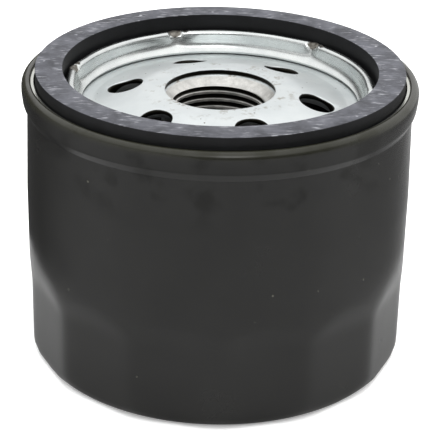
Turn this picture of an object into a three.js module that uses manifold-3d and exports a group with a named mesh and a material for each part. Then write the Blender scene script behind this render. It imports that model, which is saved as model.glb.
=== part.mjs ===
// Spin-on oil filter for a small engine, standing on its closed end with the threaded end up.
// Units are millimetres, +Z points to the threaded end, and the origin is the centre of the closed end.
// Angles are measured about +Z from the front (-Y) towards +X.

import * as THREE from 'three';
import { mergeVertices } from 'three/addons/utils/BufferGeometryUtils.js';
import Module from 'manifold-3d';

const wasm = await Module();
wasm.setup();

// ---------------------------------------------------------------- driving sizes

const overallHeight = 58.2;
const seamDiameter = 76;
const bodyInset = 0.6;
const sheet = 0.5;
const cornerCut = 0.4;

const gasketWidth = 5.2;
const gasketHeight = 5.15;
const gasketProud = 2.0;
const gasketSideRoom = 0.7;

const fluteCount = 14;
const fluteTop = 16.5;
const fluteRunOut = 4;
const fluteTurn = 1.7;
const cornerRadius = 3;
const restRingWidth = 11.4;
const footPanelRise = 1;
const neckIn = 0.55;
const neckStart = 34;
const beadHeight = 5;

const lipWidth = 1.9;
const lipBelowFace = 3;
const lidFlange = 1;
const dishDepth = 2.25;
const nibCount = 6;
const nibTurn = 19.5;
const nibPush = 0.18;

const plateThickness = 2;
const valleyWidth = 2.1;
const rampClear = 0.65;
const domeRise = 2.65;
const hubFlat = 3.6;
const threadMajorDiameter = 19.05;
const threadPitch = 1.5875;
const threadDepth = 0.825;
const funnelDepth = 2.9;
const mouthStep = 1.05;
const skirtWall = 1.75;
const skirtLength = 9;
const inletCount = 6;
const inletDiameter = 7;

const valveThickness = 1;
const valveCollarWidth = 2.4;
const valveCollarHeight = 4.2;
const valveLift = 1;

const flowGap = 4.9;
const capAboveSpring = 9.1;
const capRim = 3;
const capBelowSkirt = 1.4;
const adhesiveDepth = 1.4;
const nippleRoom = 2.4;
const pleatCount = 36;
const paperThickness = 0.6;
const clipDepth = 5;
const perforationDiameter = 3.2;
const perforationColumns = 6;
const perforationRows = 4;

const portDiameter = 10.4;
const seatRise = 1.15;
const sealThickness = 1.2;
const sealOverlap = 1.5;
const stemDiameter = 3;
const cageDiameter = 17.8;
const cageSlack = 1.15;
const bypassWire = 0.9;
const bypassTurns = 5;
const bypassLift = 3;

const leafThickness = 0.6;
const leafWidth = 7;
const leafCount = 4;
const leafRingWidth = 4.5;

// ---------------------------------------------------------------- clearances

const seatGap = 0.05;
const looseGap = 0.3;
const seamGap = 0.2;
const foldGap = 0.2;
const slideGap = 0.15;
const paperRoom = 0.4;
const discRoom = 0.8;
const springRoom = 1.35;

// ---------------------------------------------------------------- levels and radii shared by neighbours

const seamRadius = seamDiameter / 2;
const bodyRadius = seamRadius - bodyInset;
const restRingOuter = bodyRadius - cornerRadius;
const footPanelRadius = restRingOuter - restRingWidth - 1.5;
const beadTop = overallHeight - gasketProud;
const beadFoot = beadTop - beadHeight;
const channelWall = seamRadius - 3 * sheet - seamGap - foldGap;
const channelFloor = overallHeight - gasketHeight;
const gasketOuter = channelWall - gasketSideRoom;
const gasketInner = gasketOuter - gasketWidth;
const lipOuter = gasketInner - looseGap;
const lipInner = lipOuter - lipWidth;
const lipTop = overallHeight - lipBelowFace;
const valleyOuter = lipInner - lidFlange;
const valleyInner = valleyOuter - valleyWidth;
const valleyTop = channelFloor - dishDepth;
const hubTop = valleyTop + domeRise;

const threadMajor = threadMajorDiameter / 2;
const threadMinor = threadMajor - threadDepth;
const hubMouth = threadMajor + mouthStep;
const skirtOuter = threadMajor + skirtWall;
const skirtBottom = hubTop - skirtLength;
const inletCircle = (hubMouth + valleyOuter) / 2;

const capTop = skirtBottom - capBelowSkirt;
const capBottom = capAboveSpring;
const elementRadius = bodyRadius - sheet - flowGap;
const tubeInner = threadMajor + nippleRoom;
const tubeOuter = tubeInner + sheet;
const paperTop = capTop - sheet - adhesiveDepth - 2 * seatGap;
const paperBottom = capBottom + sheet + adhesiveDepth + 2 * seatGap;
const paperOuter = elementRadius - sheet - 2 * seatGap - paperRoom;
const paperInner = tubeOuter + 2 * looseGap;

const portRadius = portDiameter / 2;
const seatPlateTop = capBottom + 2 * sheet + seatGap;
const seatTop = seatPlateTop + seatRise;
const sealBottom = seatTop + seatGap;
const discBottom = sealBottom + sealThickness + seatGap;
const cageOuter = cageDiameter / 2;
const springSolid = bypassTurns * bypassWire;
const cageTop = discBottom + 2 * sheet + springSolid + bypassLift + cageSlack;
const discRadius = cageOuter - sheet - discRoom;
const stemRadius = stemDiameter / 2;
const stemHole = stemRadius + looseGap;
const springRadius = discRadius - sheet - springRoom - bypassWire / 2;

// ---------------------------------------------------------------- tools

function toSolid(geometry) {
  geometry.deleteAttribute('normal');
  geometry.deleteAttribute('uv');
  const merged = mergeVertices(geometry, 1e-4);
  const corners = merged.index.array;
  const kept = [];
  for (let i = 0; i < corners.length; i += 3) {
    const [a, b, c] = [corners[i], corners[i + 1], corners[i + 2]];
    if (a !== b && b !== c && c !== a) kept.push(a, b, c);
  }
  const vertProperties = new Float32Array(merged.attributes.position.array);
  return new wasm.Manifold(new wasm.Mesh({ numProp: 3, vertProperties, triVerts: new Uint32Array(kept) }));
}

function toMesh(name, solid, material) {
  const { vertProperties, triVerts } = solid.getMesh();
  const geometry = new THREE.BufferGeometry();
  geometry.setAttribute('position', new THREE.BufferAttribute(vertProperties, 3));
  geometry.setIndex(new THREE.BufferAttribute(triVerts, 1));
  const mesh = new THREE.Mesh(geometry, material);
  mesh.name = name;
  return mesh;
}

function metal(color, roughness) {
  return new THREE.MeshStandardMaterial({ color, roughness, metalness: 1, flatShading: true });
}

function soft(color, roughness) {
  return new THREE.MeshStandardMaterial({ color, roughness, metalness: 0, flatShading: true });
}

// A line of [radius, height] points moved sideways, to its left, by the same distance everywhere.
function offsetLine(line, distance) {
  const side = (from, to) => {
    const along = new THREE.Vector2(to[0] - from[0], to[1] - from[1]).normalize();
    return new THREE.Vector2(-along.y, along.x);
  };
  return line.map((point, i) => {
    const before = i > 0 ? side(line[i - 1], point) : side(point, line[i + 1]);
    const after = i < line.length - 1 ? side(point, line[i + 1]) : before;
    const middle = before.clone().add(after);
    middle.multiplyScalar(distance / (1 + before.dot(after)));
    return [point[0] + middle.x, point[1] + middle.y];
  });
}

// The closed section of a sheet whose one face follows the line, with its metal on the line's left.
function sheetSection(line, thickness) {
  return [...line, ...offsetLine(line, thickness).reverse()];
}

function arcPoints(radius, height, size, fromDegrees, toDegrees, steps) {
  const points = [];
  for (let i = 0; i <= steps; i += 1) {
    const angle = THREE.MathUtils.degToRad(fromDegrees + (toDegrees - fromDegrees) * i / steps);
    points.push([radius + size * Math.cos(angle), height + size * Math.sin(angle)]);
  }
  return points;
}

// A section of [radius, height] points turned once about the Z axis.
function turned(section, segments, startDegrees = 0) {
  const area = THREE.ShapeUtils.area(section.map(([x, y]) => new THREE.Vector2(x, y)));
  const points = section.map(([x, y]) => new THREE.Vector2(Math.max(x, 0), y));
  if (area < 0) points.reverse();
  points.push(points[0].clone());
  const geometry = new THREE.LatheGeometry(points, segments, THREE.MathUtils.degToRad(startDegrees));
  return geometry.rotateX(Math.PI / 2);
}

// Moves each vertex outwards by shift(radius, height, degrees).
function reshape(geometry, shift) {
  const position = geometry.attributes.position;
  for (let i = 0; i < position.count; i += 1) {
    const [x, y, z] = [position.getX(i), position.getY(i), position.getZ(i)];
    const radius = Math.hypot(x, y);
    if (radius < 1e-6) continue;
    const scale = 1 + shift(radius, z, THREE.MathUtils.radToDeg(Math.atan2(x, -y))) / radius;
    position.setXY(i, x * scale, y * scale);
  }
  return geometry;
}

function place(geometry, radius, degrees, height) {
  const angle = THREE.MathUtils.degToRad(degrees);
  geometry.rotateZ(angle);
  return geometry.translate(radius * Math.sin(angle), -radius * Math.cos(angle), height);
}

// Degrees from the nearest of count equal steps that start at the given turn.
function fromStep(degrees, count, turn) {
  const pitch = 360 / count;
  const along = THREE.MathUtils.euclideanModulo(degrees - turn + pitch / 2, pitch);
  return along - pitch / 2;
}

function ring(inner, outer, bottom, top, segments) {
  return toSolid(turned([[inner, bottom], [outer, bottom], [outer, top], [inner, top]], segments));
}

// ---------------------------------------------------------------- can

// Deep-drawn steel can, with flats for a cap wrench round its closed end and a rolled bead at its open end.
function makeCan() {
  const bead = [
    [bodyRadius - neckIn, beadFoot - 0.8],
    [bodyRadius - neckIn + 0.2, beadFoot],
    [seamRadius - 0.3, beadFoot + 0.9],
    [seamRadius, beadFoot + 1.9],
    [seamRadius, beadTop - 1.3],
    [seamRadius - 0.45, beadTop - 0.25 - 0.05],
    [seamRadius - 0.9, beadTop],
    [channelWall + seatGap, beadTop],
  ];
  const line = [
    [0, footPanelRise],
    [footPanelRadius, footPanelRise],
    [footPanelRadius + 1.5, 0],
    ...arcPoints(restRingOuter, cornerRadius, cornerRadius, -90, 0, 3),
    [bodyRadius, fluteTop],
    [bodyRadius, fluteTop + fluteRunOut],
    [bodyRadius, neckStart],
    ...bead,
  ];
  const flatMiddle = Math.cos(Math.PI / fluteCount);
  const flats = (radius, height, degrees) => {
    if (radius < footPanelRadius + 3) return 0;
    const runOut = THREE.MathUtils.clamp((fluteTop + fluteRunOut - height) / fluteRunOut, 0, 1);
    const turn = THREE.MathUtils.degToRad(fromStep(degrees, fluteCount, fluteTurn + 180 / fluteCount));
    return -bodyRadius * Math.max(1 - flatMiddle / Math.cos(turn), 0) * runOut;
  };
  const body = turned(sheetSection(line, sheet), fluteCount * 3, fluteTurn);
  return toMesh('can', toSolid(reshape(body, flats)), soft('#333330', 0.35));
}

// ---------------------------------------------------------------- seaming lid

// Pressed steel ring: its rim hooks into the can's bead, its channel holds the gasket,
// and a folded lip with six pinched nibs keeps the gasket in place.
function makeSeamingLid() {
  const hookOuter = seamRadius - sheet - seamGap;
  const foldRadius = (hookOuter - channelWall) / 2;
  const foldMiddle = beadTop - sheet - seamGap - foldRadius;
  const line = [
    [hookOuter, beadFoot + 2.1],
    ...arcPoints(hookOuter - foldRadius, foldMiddle, foldRadius, 0, 180, 3),
    [channelWall, channelFloor],
    [lipOuter, channelFloor],
    [lipOuter, lipTop - cornerCut],
    [lipOuter - cornerCut, lipTop],
    [lipInner + cornerCut, lipTop],
    [lipInner, lipTop - cornerCut],
    [lipInner, channelFloor - 0.15],
    [valleyOuter, valleyTop + sheet + seatGap],
  ];
  const nibs = (radius, height, degrees) => {
    if (radius > lipOuter + 0.01 || height < lipTop - 1.2) return 0;
    const away = Math.abs(fromStep(degrees, nibCount, nibTurn));
    return nibPush * THREE.MathUtils.clamp(1 - away / 9, 0, 1);
  };
  const lid = turned(sheetSection(line, sheet), nibCount * 8, nibTurn);
  return toMesh('seaming_lid', toSolid(reshape(lid, nibs)), metal('#c9cccc', 0.35));
}

// Cured sealing compound, a thin bead inside the rolled seam under the lid's hook.
function makeSeamCompound() {
  const inner = channelWall + sheet + seamGap;
  const outer = seamRadius - sheet - seamGap;
  const bottom = beadFoot + 1.35;
  const top = beadFoot + 1.95;
  const section = [[inner, bottom], [outer - 0.3, bottom], [outer - 0.05, top], [inner, top]];
  return toMesh('seam_compound', toSolid(turned(section, fluteCount * 3, fluteTurn)), soft('#8f8a78', 0.8));
}

// ---------------------------------------------------------------- gasket

// Square-cut nitrile ring that seals on the engine.
function makeGasket() {
  const edge = 0.2;
  const section = [
    [gasketInner, channelFloor + seatGap],
    [gasketOuter, channelFloor + seatGap],
    [gasketOuter, overallHeight - edge],
    [gasketOuter - edge, overallHeight],
    [gasketInner + edge, overallHeight],
    [gasketInner, overallHeight - edge],
  ];
  return toMesh('gasket', toSolid(turned(section, 48, nibTurn)), soft('#3c3e42', 0.7));
}

// ---------------------------------------------------------------- base plate

// The solid that fills a threaded hole: a V-shaped profile carried round the axis, rising one pitch a turn.
function threadCore(bottom, top, segments) {
  const rootFlat = threadPitch / 8;
  const flank = (threadPitch - rootFlat) / 2;
  const crest = threadMinor - 0.4 * threadDepth;
  const perTurn = 3;
  const turns = Math.ceil((top - bottom) / threadPitch) + 2;
  const profile = [];
  for (let turn = 0; turn < turns; turn += 1) {
    const start = bottom + (turn - 1) * threadPitch;
    profile.push([crest, start], [threadMajor, start + flank], [threadMajor, start + flank + rootFlat]);
  }
  const rows = profile.length;
  const positions = [];
  const addPoint = (row, column) => {
    const angle = 2 * Math.PI * column / segments;
    const [radius, height] = profile[row];
    const rise = threadPitch * column / segments;
    positions.push(radius * Math.sin(angle), -radius * Math.cos(angle), height + rise);
  };
  for (let column = 0; column < segments; column += 1) {
    for (let row = 0; row < rows; row += 1) addPoint(row, column);
  }
  for (let row = rows - perTurn; row < rows; row += 1) addPoint(row, segments);
  const seamVertex = (row) => (row < rows ? row : segments * rows + row - rows);
  const vertex = (column, row) => (column < segments ? column * rows + row : seamVertex(row + perTurn));
  const low = positions.length / 3;
  const high = low + 1;
  positions.push(0, 0, profile[0][1], 0, 0, profile[rows - 1][1] + threadPitch);
  const faces = [];
  for (let column = 0; column < segments; column += 1) {
    for (let row = 0; row < rows - 1; row += 1) {
      const [a, b] = [vertex(column, row), vertex(column + 1, row)];
      const [c, d] = [vertex(column + 1, row + 1), vertex(column, row + 1)];
      faces.push(a, b, c, a, c, d);
    }
    faces.push(low, vertex(column + 1, 0), vertex(column, 0));
    faces.push(high, vertex(column, rows - 1), vertex(column + 1, rows - 1));
  }
  for (let row = 0; row < perTurn; row += 1) {
    faces.push(low, seamVertex(row), seamVertex(row + 1));
    faces.push(high, seamVertex(rows + row), seamVertex(rows + row - 1));
  }
  const geometry = new THREE.BufferGeometry();
  geometry.setAttribute('position', new THREE.Float32BufferAttribute(positions, 3));
  geometry.setIndex(faces);
  return toSolid(geometry);
}

// Thick tapping plate, pressed into a dish with a dome in the middle, six inlet holes and a threaded hub.
function makeBasePlate() {
  const flangeTop = channelFloor - sheet - seatGap;
  const dish = [
    [channelWall - looseGap, flangeTop],
    [lipInner + sheet + 0.25, flangeTop],
    [valleyOuter + rampClear, valleyTop],
    [valleyInner, valleyTop],
    [valleyInner - 1.8, valleyTop + 0.25],
    [hubMouth + hubFlat + 1.6, hubTop - 0.2],
    [hubMouth + hubFlat, hubTop],
    [skirtOuter, hubTop],
  ];
  const bore = [
    [hubMouth, hubTop],
    [hubMouth - 0.1, hubTop - 0.4 * funnelDepth],
    [threadMajor, hubTop - 0.8 * funnelDepth],
    [threadMinor, hubTop - funnelDepth],
    [threadMinor, skirtBottom],
    [skirtOuter, skirtBottom],
  ];
  const underside = offsetLine(dish, plateThickness).reverse();
  let plate = toSolid(turned([...dish, ...bore, ...underside], 36, nibTurn));
  plate = plate.subtract(threadCore(skirtBottom, hubTop - funnelDepth, 18));
  for (let i = 0; i < inletCount; i += 1) {
    const punch = new THREE.CylinderGeometry(inletDiameter / 2, inletDiameter / 2, 12, 14);
    punch.rotateX(Math.PI / 2);
    const hole = place(punch, inletCircle, nibTurn + i * 360 / inletCount, valleyTop);
    plate = plate.subtract(toSolid(hole));
  }
  return toMesh('base_plate', plate, metal('#d2d6d6', 0.4));
}

// ---------------------------------------------------------------- anti-drain valve

// Rubber diaphragm: its collar grips the hub, and its lip closes the inlet holes from inside.
function makeDrainValve() {
  const inner = skirtOuter + slideGap;
  const outer = inner + valveCollarWidth;
  const bottom = capTop + valveLift + looseGap;
  const root = bottom + 0.5 * valveCollarHeight;
  const lipRadius = valleyInner + 0.6;
  const lipHeight = valleyTop - plateThickness - looseGap;
  const section = [
    [inner, bottom],
    [outer - 0.4, bottom],
    [outer, bottom + 0.4],
    [outer, root - valveThickness],
    [lipRadius - 1.4, lipHeight - 1.5],
    [lipRadius, lipHeight - 1],
    [lipRadius, lipHeight - 0.2],
    [lipRadius - 0.5, lipHeight],
    [lipRadius - 1.6, lipHeight - 0.5],
    [outer, root],
    [outer, bottom + valveCollarHeight],
    [inner, bottom + valveCollarHeight],
  ];
  return toMesh('anti_drain_valve', toSolid(turned(section, 36)), soft('#1b1b1c', 0.6));
}

// ---------------------------------------------------------------- filter element

// Pressed steel end cap at the threaded end, with a neck that centres it in the tube.
function makeUpperEndCap() {
  const neck = tubeInner - slideGap - sheet;
  const line = [
    [elementRadius, capTop - capRim],
    [elementRadius, capTop - cornerCut],
    [elementRadius - cornerCut, capTop],
    [neck + cornerCut, capTop],
    [neck, capTop - cornerCut],
    [neck, capTop - capRim],
  ];
  return toMesh('upper_end_cap', toSolid(turned(sheetSection(line, sheet), 36)), metal('#b9b7ae', 0.4));
}

// Pressed steel end cap at the closed end, open in the middle for the bypass valve.
function makeLowerEndCap() {
  const line = [
    [cageOuter - 0.7, capBottom],
    [elementRadius - cornerCut, capBottom],
    [elementRadius, capBottom + cornerCut],
    [elementRadius, capBottom + capRim],
  ];
  return toMesh('lower_end_cap', toSolid(turned(sheetSection(line, sheet), 36)), metal('#b9b7ae', 0.4));
}

function makeAdhesive(name, bottom) {
  const inner = tubeOuter + 0.2;
  const outer = elementRadius - sheet - 0.2;
  const solid = ring(inner, outer, bottom, bottom + adhesiveDepth, 36);
  return toMesh(name, solid, soft('#b8452c', 0.5));
}

// A section drawn in plan and raised along +Z.
function raised(points, bottom, top) {
  const shape = new THREE.Shape(points.map(([x, y]) => new THREE.Vector2(x, y)));
  const options = { depth: top - bottom, bevelEnabled: false };
  return new THREE.ExtrudeGeometry(shape, options).translate(0, 0, bottom);
}

// One resin-treated paper strip folded into pleats and closed into a ring.
function makePleatedPaper() {
  const halfPitch = Math.PI / pleatCount;
  const wide = 0.75;
  const narrow = wide - paperThickness;
  const corner = (radius, angle, across) => {
    const turn = angle + across / radius;
    return new THREE.Vector2(radius * Math.sin(turn), -radius * Math.cos(turn));
  };
  const outside = [];
  const inside = [];
  for (let i = 0; i < pleatCount; i += 1) {
    const fold = 2 * halfPitch * i;
    const valley = fold + halfPitch;
    outside.push(corner(paperOuter, fold, -wide), corner(paperOuter, fold, wide));
    outside.push(corner(paperInner + paperThickness, valley, -narrow));
    outside.push(corner(paperInner + paperThickness, valley, narrow));
    inside.push(corner(paperOuter - paperThickness, fold, -narrow));
    inside.push(corner(paperOuter - paperThickness, fold, narrow));
    inside.push(corner(paperInner, valley, -wide), corner(paperInner, valley, wide));
  }
  const shape = new THREE.Shape(outside);
  shape.holes.push(new THREE.Path(inside));
  const options = { depth: paperTop - paperBottom, bevelEnabled: false };
  const geometry = new THREE.ExtrudeGeometry(shape, options).translate(0, 0, paperBottom);
  return toMesh('pleated_paper', toSolid(geometry), soft('#d8b66a', 0.9));
}

// Folded steel strip that joins the two ends of the paper over one pleat.
function makePleatClip() {
  const wall = 0.4;
  const half = 0.75 + looseGap;
  const back = paperOuter + 2 * seatGap;
  const tail = paperOuter - clipDepth;
  const points = [
    [-half - wall, -tail],
    [-half - wall, -back - looseGap],
    [half + wall, -back - looseGap],
    [half + wall, -tail],
    [half, -tail],
    [half, -back],
    [-half, -back],
    [-half, -tail],
  ];
  const bottom = capBottom + capRim + looseGap;
  const top = capTop - capRim - looseGap;
  return toMesh('pleat_clip', toSolid(raised(points, bottom, top)), metal('#a9a9a6', 0.4));
}

// Perforated steel tube that keeps the paper from collapsing inwards.
function makeCentreTube() {
  const bottom = capBottom + sheet + seatGap;
  const top = capTop - sheet - looseGap;
  const rowPitch = (paperTop - paperBottom) / perforationRows;
  let tube = ring(tubeInner, tubeOuter, bottom, top, 24);
  for (let row = 0; row < perforationRows; row += 1) {
    for (let column = 0; column < perforationColumns / 2; column += 1) {
      const punch = new THREE.CylinderGeometry(perforationDiameter / 2, perforationDiameter / 2, 60, 6);
      const stagger = row % 2 ? 0.5 : 0;
      const degrees = 5 + (column + stagger) * 360 / perforationColumns;
      const hole = place(punch, 0, degrees, paperBottom + (row + 0.5) * rowPitch);
      tube = tube.subtract(toSolid(hole));
    }
  }
  return toMesh('centre_tube', tube, metal('#a7a9a8', 0.4));
}

// ---------------------------------------------------------------- bypass valve

// Stamped plate with a drawn collar whose rim the valve closes on.
function makeBypassSeat() {
  const line = [
    [tubeInner - 0.5, seatPlateTop],
    [portRadius + sheet + 0.4, seatPlateTop],
    [portRadius + sheet, seatPlateTop + 0.4],
    [portRadius + sheet, seatTop],
  ];
  return toMesh('bypass_seat', toSolid(turned(sheetSection(line, sheet), 24)), metal('#c4c1b4', 0.35));
}

function makeBypassSeal() {
  const outer = portRadius + sheet + sealOverlap;
  const solid = ring(stemHole, outer, sealBottom, sealBottom + sealThickness, 24);
  return toMesh('bypass_seal', solid, soft('#202020', 0.6));
}

// Stamped cup that backs the seal and centres the spring.
function makeBypassDisc() {
  const line = [
    [stemHole, discBottom],
    [discRadius - cornerCut, discBottom],
    [discRadius, discBottom + cornerCut],
    [discRadius, discBottom + 1.6],
  ];
  return toMesh('bypass_disc', toSolid(turned(sheetSection(line, sheet), 24)), metal('#bcbcb8', 0.35));
}

// Headed pin that holds seal and disc together and slides in the cage.
function makeBypassStem() {
  const headBottom = sealBottom - seatGap - 0.9;
  const shoulder = discBottom + sheet + seatGap;
  const section = [
    [0, headBottom],
    [portRadius - 2, headBottom],
    [portRadius - 2, sealBottom - seatGap],
    [stemRadius, sealBottom - seatGap],
    [stemRadius, shoulder],
    [stemRadius + 0.9, shoulder],
    [stemRadius + 0.9, shoulder + 0.6],
    [stemRadius, shoulder + 0.6],
    [stemRadius, cageTop + 1.6],
    [stemRadius - 0.4, cageTop + 2],
    [0, cageTop + 2],
  ];
  return toMesh('bypass_stem', toSolid(turned(section, 12)), metal('#c9c7c0', 0.3));
}

// Stamped cage, closed at the top and open at the sides, that holds the spring down on the disc.
function makeBypassCage() {
  const foot = seatPlateTop + seatGap + sheet;
  const line = [
    [tubeInner - 0.6, foot],
    [cageOuter + cornerCut, foot],
    [cageOuter, foot + cornerCut],
    [cageOuter, cageTop - cornerCut],
    [cageOuter - cornerCut, cageTop],
    [stemHole, cageTop],
  ];
  let cage = toSolid(turned(sheetSection(line, sheet), 24));
  const low = foot + 1.6;
  const high = cageTop - 2.2;
  for (let i = 0; i < 2; i += 1) {
    const window = new THREE.BoxGeometry(0.4 * cageDiameter, 2 * cageDiameter, high - low);
    cage = cage.subtract(toSolid(place(window, 0, 45 + 90 * i, (low + high) / 2)));
  }
  return toMesh('bypass_cage', cage, metal('#b3b2ab', 0.4));
}

// Steps along a wire coiled about the Z axis.
class Coil extends THREE.Curve {
  constructor(radius, bottom, top, turns) {
    super();
    Object.assign(this, { radius, bottom, top, turns });
  }

  getPoint(t, target = new THREE.Vector3()) {
    const angle = 2 * Math.PI * this.turns * t;
    const height = THREE.MathUtils.lerp(this.bottom, this.top, t);
    return target.set(this.radius * Math.sin(angle), -this.radius * Math.cos(angle), height);
  }
}

function makeBypassSpring() {
  const bottom = discBottom + sheet + bypassWire / 2 + seatGap;
  const top = cageTop - sheet - bypassWire / 2 - seatGap;
  const wire = new THREE.Shape().absarc(0, 0, bypassWire / 2, 0, 2 * Math.PI);
  const options = {
    steps: bypassTurns * 10,
    extrudePath: new Coil(springRadius, bottom + 0.1, top - 0.1, bypassTurns),
    bevelEnabled: false,
    curveSegments: 3,
  };
  return toMesh('bypass_spring', toSolid(new THREE.ExtrudeGeometry(wire, options)), metal('#8f9090', 0.3));
}

// ---------------------------------------------------------------- element spring

// Spring-steel spider: a ring under the element and four bent arms that stand on the can's floor.
function makeElementSpring() {
  const ringInner = cageOuter + 0.6;
  const ringTop = capBottom - seatGap;
  const ringOuter = ringInner + leafRingWidth;
  const footRadius = restRingOuter - 4;
  const floor = sheet + seatGap;
  const arm = [
    [ringOuter - 1, ringTop],
    [ringOuter + 2.5, ringTop - 0.4],
    [footRadius - 4.5, floor + leafThickness + 1.4],
    [footRadius - 1.8, floor + leafThickness],
    [footRadius, floor + leafThickness],
    [footRadius + 1.2, floor + leafThickness + 0.6],
  ];
  const section = sheetSection(arm.reverse(), leafThickness);
  let spider = ring(ringInner, ringOuter, ringTop - leafThickness, ringTop, 36);
  for (let i = 0; i < leafCount; i += 1) {
    const blade = raised(section, -leafWidth / 2, leafWidth / 2).rotateX(Math.PI / 2);
    const turnedBlade = blade.rotateZ(THREE.MathUtils.degToRad(30 + i * 360 / leafCount));
    spider = spider.add(toSolid(turnedBlade));
  }
  return toMesh('element_spring', spider, metal('#7f8283', 0.35));
}

// ---------------------------------------------------------------- assembly

const shell = new THREE.Group();
shell.add(makeCan(), makeSeamingLid(), makeSeamCompound());
shell.add(makeBasePlate(), makeGasket(), makeElementSpring());

const drainValve = new THREE.Group();
drainValve.add(makeDrainValve());

const poppet = new THREE.Group();
poppet.add(makeBypassSeal(), makeBypassDisc(), makeBypassStem());

const element = new THREE.Group();
element.add(makeUpperEndCap(), makeAdhesive('upper_adhesive', paperTop + seatGap));
element.add(makePleatedPaper(), makePleatClip(), makeCentreTube());
element.add(makeAdhesive('lower_adhesive', paperBottom - adhesiveDepth - seatGap), makeLowerEndCap());
element.add(makeBypassSeat(), makeBypassCage(), makeBypassSpring(), poppet);

const group = new THREE.Group();
group.add(shell, drainValve, element);

export default group;
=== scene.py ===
"""Spin-on oil filter for a small engine: the finished model, built round its fixed frame.

Everything is in metres, +Z towards the threaded end. Turns are degrees about +Z, from the front (-Y)
towards +X.
"""
from functools import partial
from math import atan2, copysign, cos, pi, radians, sin, tan

import bmesh
import bpy
from mathutils import Matrix, Vector


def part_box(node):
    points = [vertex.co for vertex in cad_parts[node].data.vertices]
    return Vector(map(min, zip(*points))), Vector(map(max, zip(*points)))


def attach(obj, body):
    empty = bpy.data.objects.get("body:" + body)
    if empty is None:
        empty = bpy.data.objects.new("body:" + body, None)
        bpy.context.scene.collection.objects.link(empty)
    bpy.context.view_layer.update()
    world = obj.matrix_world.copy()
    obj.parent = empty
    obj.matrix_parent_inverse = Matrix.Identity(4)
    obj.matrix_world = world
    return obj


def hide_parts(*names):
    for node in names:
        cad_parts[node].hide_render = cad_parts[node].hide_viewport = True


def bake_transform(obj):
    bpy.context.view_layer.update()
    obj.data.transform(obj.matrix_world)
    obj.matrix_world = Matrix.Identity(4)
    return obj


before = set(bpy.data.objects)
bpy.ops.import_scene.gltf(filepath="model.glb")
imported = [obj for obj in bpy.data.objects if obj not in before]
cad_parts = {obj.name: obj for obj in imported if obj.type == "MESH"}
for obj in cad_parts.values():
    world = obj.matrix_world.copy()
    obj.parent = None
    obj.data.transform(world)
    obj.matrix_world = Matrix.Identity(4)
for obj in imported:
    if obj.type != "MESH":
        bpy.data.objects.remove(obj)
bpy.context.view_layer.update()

MM = 0.001


# ---------------- camera
# A long lens a little over 30 cm away, looking down at the filter by about 26 degrees.

camera_height = 171.1 * MM
camera_distance = 303.3 * MM
look_down = radians(25.64)
look_right = radians(0.105)
lean = radians(1.37)

bpy.ops.object.camera_add(location=(0, -camera_distance, camera_height))
camera = bpy.context.object
aim = Matrix.Rotation(-look_right, 4, "Z") @ Matrix.Rotation(pi / 2 - look_down, 4, "X")
camera.rotation_euler = (aim @ Matrix.Rotation(lean, 4, "Z")).to_euler()
camera.data.sensor_width = 36
camera.data.lens = 138.2
camera.data.clip_start = 10 * MM
bpy.context.scene.camera = camera


# ---------------- can
# The casing: a cup deep-drawn from 0.5 mm steel. Fourteen flats round the closed end take a cap wrench,
# and the open end is rolled over the lid's hook into a bead. It is painted satin black after the seam is
# made, and a mask keeps the paint off the gasket's channel, so the bead's inner edge stays bare.

# Places are picked with a hair to spare, and points closer than the gap are one point.
hair = 0.01 * MM
merge_gap = 0.002 * MM

sheet = 0.5 * MM
can_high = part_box("can")[1]
bead_radius = can_high.x - hair
bead_top = can_high.z
body_radius = bead_radius - 0.6 * MM
fold_radius = 36.15 * MM
neck_radius = body_radius - 0.4 * MM
neck_start = 34 * MM
neck_top = 50.5 * MM
corner_bend = 3 * MM
floor_panel_radius = 21.5 * MM
floor_panel_rise = 1 * MM

flat_count = 14
flat_turn = 1.7
flat_top = 16.5 * MM
flat_run_out = 4 * MM
flat_reach = body_radius - 0.88 * MM
columns_per_flat = 16
wall_rings = 34
ease_start = 1 * MM
ease_full = 3 * MM
ease_whole = neck_start - 8 * MM


def at(radius, height, turn=0.0):
    """The point at a radius and height, turned about the axis from the front."""
    angle = radians(turn)
    return Vector((radius * sin(angle), -radius * cos(angle), height))


def bent(corners, steps=5):
    """A line through (radius, height, bend) corners, with each bend rounded by an arc of that radius."""
    line = [Vector(corners[0][:2])]
    for before, here, after in zip(corners, corners[1:], corners[2:]):
        corner, bend = Vector(here[:2]), here[2]
        back = (Vector(before[:2]) - corner).normalized()
        ahead = (Vector(after[:2]) - corner).normalized()
        half = back.angle(ahead) / 2
        if bend == 0:
            line.append(corner)
            continue
        middle = corner + (back + ahead).normalized() * bend / sin(half)
        start = corner + back * bend / tan(half) - middle
        end = corner + ahead * bend / tan(half) - middle
        line += [middle + start.slerp(end, i / steps) * bend for i in range(steps + 1)]
    return [*line, Vector(corners[-1][:2])]


def ramp(value, start, end):
    """How far a value has gone from start to end, kept between 0 and 1."""
    return min(max((value - start) / (end - start), 0), 1)


def begin(name):
    """Names the primitive just added, moves its place into its mesh and opens it for editing."""
    piece = bpy.context.object
    piece.name = piece.data.name = name
    bpy.ops.object.transform_apply(location=True, rotation=True, scale=True)
    bpy.ops.object.mode_set(mode="EDIT")
    return piece


def pick_all():
    """Selects the whole of the piece being edited."""
    bpy.ops.mesh.select_all(action="SELECT")


def extrude(move):
    """Extrudes what is selected by a move."""
    bpy.ops.mesh.extrude_region_move(TRANSFORM_OT_translate={"value": move})


def trace(name, points, closed=False):
    """Traces a line through points, one vertex extruded to the next."""
    bpy.ops.object.select_all(action="DESELECT")
    bpy.ops.mesh.primitive_plane_add(size=MM, location=points[0])
    piece = begin(name)
    bpy.ops.mesh.merge(type="CENTER")
    for here, there in zip(points, points[1:] + points[:1] * closed):
        extrude(there - here)
    pick_all()
    bpy.ops.mesh.remove_doubles(threshold=merge_gap)
    return piece


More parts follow.
